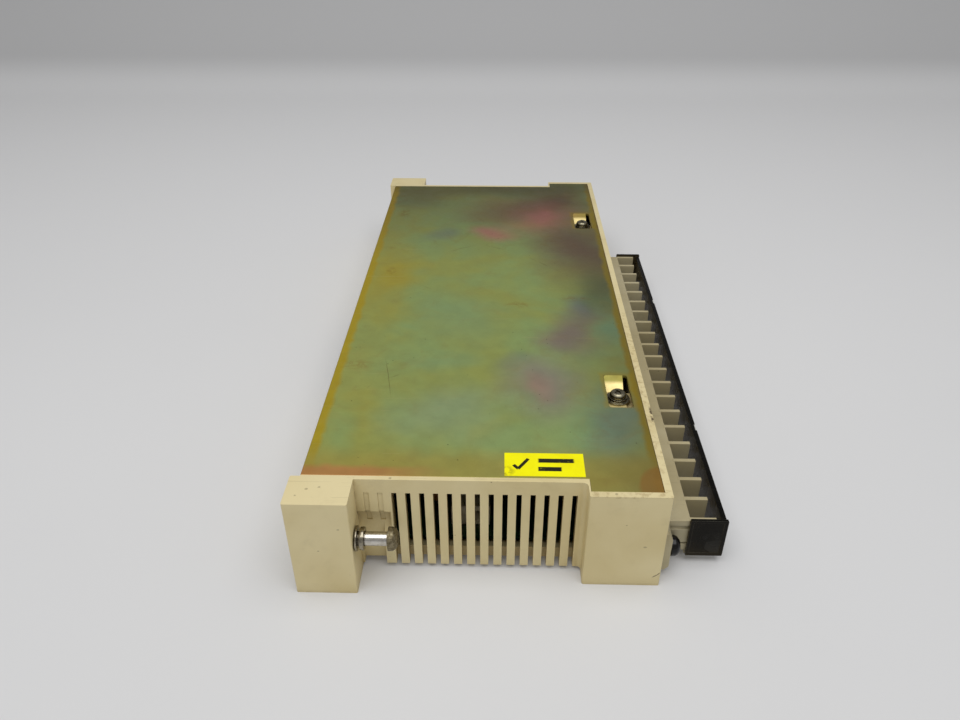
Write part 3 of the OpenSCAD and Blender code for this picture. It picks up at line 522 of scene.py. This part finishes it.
def room(edge, width):
    """How wide a rounding this edge can take before it meets another edge of its faces."""
    best = width
    start, line = edge.verts[0].co, edge.verts[1].co - edge.verts[0].co
    length = line.length
    if length < TINY:
        return 0
    line.normalize()
    for face in edge.link_faces:
        for other in face.edges:
            if other is edge:
                continue
            ends = [v.co - start for v in other.verts]
            along = [line.dot(e) for e in ends]
            away = [(e - line * t).length for e, t in zip(ends, along)]
            if set(other.verts) & set(edge.verts):
                if max(away) > TURNS_OFF * other.calc_length():
                    best = min(best, max(away) * GAP_SHARE)
                continue
            low, high = sorted(range(2), key=lambda i: along[i])
            if along[high] < -best or along[low] > length + best:
                continue
            run = max(along[high] - along[low], TINY)
            for t in (max(along[low], -best), min(along[high], length + best)):
                share = (t - along[low]) / run
                gap = away[low] * (1 - share) + away[high] * share
                best = min(best, GAP_SHARE * gap + 1e-7)
    return best


def merge_flat(bm):
    """Joins neighbours that lie in one plane, but never all the way round a hole."""
    for edge in sorted(bm.edges, key=lambda e: -e.calc_length()):
        if not edge.is_valid or len(edge.link_faces) != 2:
            continue
        a, b = edge.link_faces
        if a.normal.dot(b.normal) < FLAT:
            continue
        shared = sum(b in e.link_faces for e in a.edges)
        if len(set(a.verts) & set(b.verts)) == shared + 1:
            bmesh.utils.face_join((a, b))
    straight = []
    for vert in bm.verts:
        if len(vert.link_edges) == 2:
            one, two = (e.other_vert(vert).co - vert.co for e in vert.link_edges)
            if one.length > 0 and two.length > 0 and one.normalized().dot(two.normalized()) < STRAIGHT:
                straight.append(vert)
    bmesh.ops.dissolve_verts(bm, verts=straight)
    bm.normal_update()


def chains(sharp):
    """Groups of sharp edges that run on into one another, so that they get one width."""
    left = set(sharp)
    while left:
        group, todo = [], [left.pop()]
        while todo:
            edge = todo.pop()
            group.append(edge)
            for vert in edge.verts:
                way = (edge.other_vert(vert).co - vert.co).normalized()
                for other in vert.link_edges:
                    on = (other.other_vert(vert).co - vert.co).normalized()
                    if other in left and way.dot(on) < RUNS_ON:
                        left.remove(other)
                        todo.append(other)
        yield group


def folds(mesh):
    """Corners of faces that fold over themselves."""
    mesh.calc_loop_triangles()
    spots = []
    for tri in mesh.loop_triangles:
        a, b, c = (mesh.vertices[i].co for i in tri.vertices)
        across = (b - a).cross(c - a)
        if across.length > FOLD and across.dot(mesh.polygons[tri.polygon_index].normal) < 0:
            spots += [a, b, c]
    return spots


def bevelled(bm, width, segments, even=False):
    """The mesh with a rounding of that width in mm along its weighted edges, less everywhere if even."""
    mesh = bpy.data.meshes.new("temp")
    bm.to_mesh(mesh)
    temp = bpy.data.objects.new("temp", mesh)
    scene.collection.objects.link(temp)
    bevel = temp.modifiers.new("Rounding", "BEVEL")
    bevel.limit_method = "WEIGHT"
    bevel.width = width * MM
    bevel.segments = segments
    bevel.use_clamp_overlap = even
    bevel.loop_slide = True
    weigh = temp.modifiers.new("Normals", "WEIGHTED_NORMAL")
    weigh.keep_sharp = True
    dg = bpy.context.evaluated_depsgraph_get()
    dg.update()
    result = bpy.data.meshes.new_from_object(temp.evaluated_get(dg))
    bpy.data.objects.remove(temp)
    bpy.data.meshes.remove(mesh)
    return result


def narrow(edges, layer, spots, reach):
    """Halves the rounding of every edge that passes within reach of one of the spots."""
    tree = kdtree.KDTree(len(spots))
    for k, spot in enumerate(spots):
        tree.insert(spot, k)
    tree.balance()
    for edge in edges:
        start, end = (v.co for v in edge.verts)
        for spot, _, _ in tree.find_range((start + end) / 2, edge.calc_length() / 2 + reach):
            if (geometry.intersect_point_line(spot, start, end)[0] - spot).length < reach:
                edge[layer] *= 0.5
                break


def rounded(mesh, width, segments):
    """The mesh with its sharp edges rounded off, each as far as there is room for it."""
    bm = bmesh.new()
    bm.from_mesh(mesh)
    bmesh.ops.remove_doubles(bm, verts=bm.verts[:], dist=WELD)
    merge_flat(bm)
    layer = bm.edges.layers.float.new("bevel_weight_edge")
    sharp = {e: min(1.0, room(e, width * MM) / (width * MM)) for e in bm.edges
             if len(e.link_faces) == 2 and e.calc_face_angle(0) > SHARP}
    for chain in chains(sharp):
        least = min(sharp[e] for e in chain)
        for edge in chain:
            edge[layer] = sharp[edge] = least
    for face in bm.faces:
        face.smooth = True
    result = bevelled(bm, width, segments)
    for _ in range(2):
        spots = folds(result)
        if not spots:
            break
        narrow(sharp, layer, spots, 1.5 * width * MM)
        result = bevelled(bm, width, segments)
    if folds(result):
        for edge, weight in sharp.items():
            edge[layer] = weight
        result = bevelled(bm, width, segments, True)
    bm.free()
    return result


def stand_in(node, width, segments):
    """A rounded copy of a CAD node that is shown instead of it."""
    mesh = rounded(frame["nodes"][node].data, width, segments)
    mesh.materials.clear()
    mesh.materials.append(MATERIALS[SLOT[node]])
    obj = bpy.data.objects.new(node + "_piece", mesh)
    scene.collection.objects.link(obj)
    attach(obj, BODY[node])
    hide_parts(node)


# the width of each visible node's roundings in mm, and how many segments they have
ROUNDINGS = {
    "housing_shell": (0.22, 3), "side_cover_plate": (0.16, 2), "cover_screws": (0.14, 2),
    "cover_screw_washers": (0.08, 2), "backplane_connector": (0.2, 2), "backplane_contacts": (0.05, 2),
    "indicator_window": (0.15, 2), "lower_mounting_screw": (0.18, 3), "upper_mounting_screw": (0.18, 3),
    "lower_flat_washer": (0.1, 2), "upper_flat_washer": (0.1, 2), "lower_spring_washer": (0.1, 2),
    "upper_spring_washer": (0.1, 2), "terminal_block_body": (0.18, 2), "terminal_contacts": (0.1, 2),
    "terminal_clamps": (0.1, 2), "terminal_screws": (0.12, 2), "lower_block_screw": (0.2, 3),
    "upper_block_screw": (0.2, 3), "terminal_cover": (0.14, 3), "terminal_label": (0.08, 2),
    "board_edge_connector": (0.15, 2), "terminal_header": (0.12, 2),
}
for node_name, (width, segments) in ROUNDINGS.items():
    stand_in(node_name, width, segments)

for node_name, obj in frame["nodes"].items():
    if not obj.hide_render:
        obj.data.materials.clear()
        obj.data.materials.append(MATERIALS[SLOT[node_name]])


# ---------------------------------------------------------------- stage, light and camera

def add_light(name, energy, place, aim, size):
    """A white rectangular lamp at a place in metres, turned towards another."""
    data = bpy.data.lights.new(name, "AREA")
    data.energy = energy
    data.shape = "RECTANGLE"
    data.size, data.size_y = size
    obj = bpy.data.objects.new(name, data)
    obj.location = place
    obj.rotation_euler = (Vector(aim) - Vector(place)).to_track_quat("-Z", "Y").to_euler()
    scene.collection.objects.link(obj)


def stage_material():
    """Pale, plain cloth with painted light: lighter further back on the floor, painted shade darker up the
    wall, and a faint glow that lifts its shadows.
    """
    s = Shader("stage_cloth", Specular_IOR_Level=0.1)
    tone = s.span(s.noise(240, 3), 0.3, 0.7)
    floor = s.mix(tone, (0.66, 0.66, 0.662, 1), (0.64, 0.64, 0.642, 1))
    # painted light: the floor lighter further back
    floor = s.mix(s.span(s.axis("Y"), -200, 350), floor, (0.73, 0.73, 0.732, 1))
    # painted shade: the wall darker higher up
    wall = s.mix(s.span(s.axis("Z"), 20, 260), (0.52, 0.52, 0.522, 1), (0.37, 0.37, 0.374, 1))
    s.set("Base Color", s.mix(s.span(s.axis("Z"), 0, 20), floor, wall))
    # painted light: the cloth glows a little, which lifts the shadows on it
    s.set("Emission Color", (1.0, 1.0, 1.0, 1))
    s.set("Emission Strength", 0.045)
    s.set("Roughness", 0.9)
    return s.done()


def backdrop():
    """A floor that curves up into a wall behind the object."""
    half, near, bend, radius, wall = 1.6, -1.2, 0.42, 0.22, 1.4
    steps, lean = 20, math.radians(80)
    line = [(near, 0.0), (bend, 0.0)]
    line += [(bend + radius * math.sin(a), radius - radius * math.cos(a))
             for a in [lean * k / steps for k in range(1, steps + 1)]]
    line.append((line[-1][0] + wall * math.cos(lean), line[-1][1] + wall * math.sin(lean)))
    verts = [(x, y, z) for y, z in line for x in (-half, half)]
    faces = [(2 * k, 2 * k + 1, 2 * k + 3, 2 * k + 2) for k in range(len(line) - 1)]
    mesh = bpy.data.meshes.new("backdrop")
    mesh.from_pydata(verts, [], faces)
    for face in mesh.polygons:
        face.use_smooth = True
    mesh.materials.append(stage_material())
    obj = bpy.data.objects.new("backdrop", mesh)
    scene.collection.objects.link(obj)


backdrop()
add_light("overhead", 3.8, (0, -0.22, 0.68), (0, -0.04, 0), (0.8, 0.6))

scene.world = bpy.data.worlds.new("studio")
scene.world.use_nodes = True
background = scene.world.node_tree.nodes["Background"]
background.inputs["Color"].default_value = (0.98, 0.98, 0.99, 1)
background.inputs["Strength"].default_value = 0.37
scene.view_settings.view_transform = "Standard"

SENSOR = 36                                  # mm wide
FOCAL_LENGTH = 0.80714 * SENSOR              # mm
CAMERA_PLACE = (-4.898, -275.632, 179.006)   # mm, in the row frame
PITCH, YAW, ROLL = 0.57603, 0.02863, 0.00387   # radians: tilt down, turn left, roll

camera = bpy.data.objects.new("camera", bpy.data.cameras.new("camera"))
scene.collection.objects.link(camera)
scene.camera = camera
camera.data.sensor_width = SENSOR
camera.data.lens = FOCAL_LENGTH
camera.data.clip_start, camera.data.clip_end = 0.01, 20
turn = (Matrix.Rotation(YAW, 3, "Z") @ Matrix.Rotation(math.pi / 2 - PITCH, 3, "X")
        @ Matrix.Rotation(-ROLL, 3, "Z"))
camera.matrix_world = Matrix.Translation(Vector(CAMERA_PLACE) * MM) @ turn.to_4x4()
